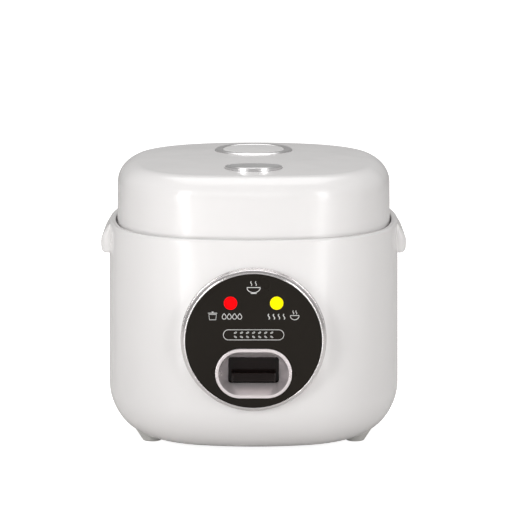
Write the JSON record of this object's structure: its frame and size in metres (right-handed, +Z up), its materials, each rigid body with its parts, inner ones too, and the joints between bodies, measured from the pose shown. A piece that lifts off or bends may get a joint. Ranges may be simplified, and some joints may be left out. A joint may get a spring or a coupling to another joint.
{
  "type": "rice cooker",
  "caption": "Rounded-square electric rice cooker with a hinged lid, lift-off steam cap, round control panel with a lever switch, side grips and a lift-out pot.",
  "frame": {"origin": "middle of the footprint on the surface that the feet stand on", "axes": "+Z up, -Y to the front (the control panel), +X to the right seen from above with the front towards -Y"},
  "size_m": [0.2218, 0.2272, 0.2057],
  "materials": {
    "white_shell": "gloss",
    "white_cap": "gloss",
    "grey_plastic": "satin",
    "foot_rubber": "matte",
    "plated_trim": "polished",
    "panel_black": "gloss",
    "lever_black": "satin",
    "lens_red": "gloss",
    "lens_yellow": "gloss",
    "aluminium": "satin",
    "shell_steel": "satin",
    "bright_steel": "bright",
    "magnet_iron": "matte",
    "switch_brown": "matte",
    "fuse_body": "matte",
    "heater_band": "matte",
    "seal_rubber": "matte",
    "inlet_black": "satin",
    "inlet_brass": "bright"
  },
  "bodies": {
    "base": {"outer_housing": "white_shell", "rim_frame": "grey_plastic", "base_cover": "grey_plastic", "panel_carrier": "grey_plastic", "hinge_bracket": "grey_plastic", "foot_front_left": "foot_rubber", "foot_front_right": "foot_rubber", "foot_rear_left": "foot_rubber", "foot_rear_right": "foot_rubber", "panel_bezel": "plated_trim", "switch_surround": "plated_trim", "panel_disc": "panel_black", "cook_lens": "lens_red", "warm_lens": "lens_yellow", "heating_plate": "aluminium", "inner_shell": "shell_steel", "thermostat_bracket": "shell_steel", "lever_stirrup": "shell_steel", "base_posts": "bright_steel", "base_screws": "bright_steel", "plate_screws": "bright_steel", "lever_pin": "bright_steel", "hinge_pin": "bright_steel", "heating_element": "bright_steel", "sensor_spring": "bright_steel", "magnet_spring": "bright_steel", "hinge_spring": "bright_steel", "changeover_switch": "switch_brown", "terminal_block": "switch_brown", "lamp_board": "switch_brown", "thermal_fuse": "fuse_body", "warming_heater": "heater_band", "inlet_housing": "inlet_black", "inlet_pins": "inlet_brass"},
    "lid": {"lid_cover": "white_shell", "lid_liner": "grey_plastic", "inner_lid_plate": "aluminium", "lid_seal": "seal_rubber", "inner_lid_button": "seal_rubber", "steam_vent_tube": "grey_plastic", "latch_mount": "grey_plastic", "hook_pin": "bright_steel", "hinge_arm": "grey_plastic", "button_spring": "bright_steel"},
    "steam_cap": {"steam_cap_ring": "plated_trim", "steam_cap_cover": "white_cap", "steam_cap_basket": "grey_plastic"},
    "release_button": {"release_button": "plated_trim"},
    "latch_hook": {"latch_hook": "grey_plastic"},
    "cook_lever": {"cook_lever": "lever_black"},
    "magnet": {"magnet_plunger": "magnet_iron"},
    "sensor": {"sensor_cup": "aluminium", "ferrite_disc": "magnet_iron"},
    "inner_pot": {"inner_pot": "aluminium"}
  },
  "joints": [
    {"name": "lid_hinge", "type": "hinge", "parent": "base", "child": "lid", "pos_m": [0, 0.108, 0.1665], "axis": [-1, 0, 0], "range_deg": [0, 85]},
    {"name": "steam_cap_lift", "type": "slide", "parent": "lid", "child": "steam_cap", "axis": [0, 0, 1], "range_m": [0, 0.03]},
    {"name": "release_button_press", "type": "slide", "parent": "lid", "child": "release_button", "axis": [0, 0, -1], "range_m": [0, 0.0025], "stiffness_N_per_m": 900, "springref_m": -0.002, "deforming": ["button_spring"]},
    {"name": "latch_release", "type": "hinge", "parent": "lid", "child": "latch_hook", "pos_m": [0, -0.084, 0.172], "axis": [-1, 0, 0], "range_deg": [0, 5.2]},
    {"name": "cook_lever_rock", "type": "hinge", "parent": "base", "child": "cook_lever", "pos_m": [0, -0.045, 0.028], "axis": [-1, 0, 0], "range_deg": [0, 6.4]},
    {"name": "magnet_drop", "type": "slide", "parent": "base", "child": "magnet", "axis": [0, 0, -1], "range_m": [0, 0.0053], "deforming": ["magnet_spring"]},
    {"name": "sensor_press", "type": "slide", "parent": "base", "child": "sensor", "axis": [0, 0, -1], "range_m": [0, 0.0006], "stiffness_N_per_m": 400, "springref_m": -0.003, "deforming": ["sensor_spring"]},
    {"name": "inner_pot_turn", "type": "hinge", "parent": "base", "child": "inner_pot", "pos_m": [0, 0, 0.1], "axis": [0, 0, 1], "continuous": true}
  ],
  "couplings": [
    {"joint": "latch_release", "follows": "release_button_press", "rad_per_m": 33.333},
    {"joint": "magnet_drop", "follows": "cook_lever_rock", "m_per_rad": 0.045}
  ]
}
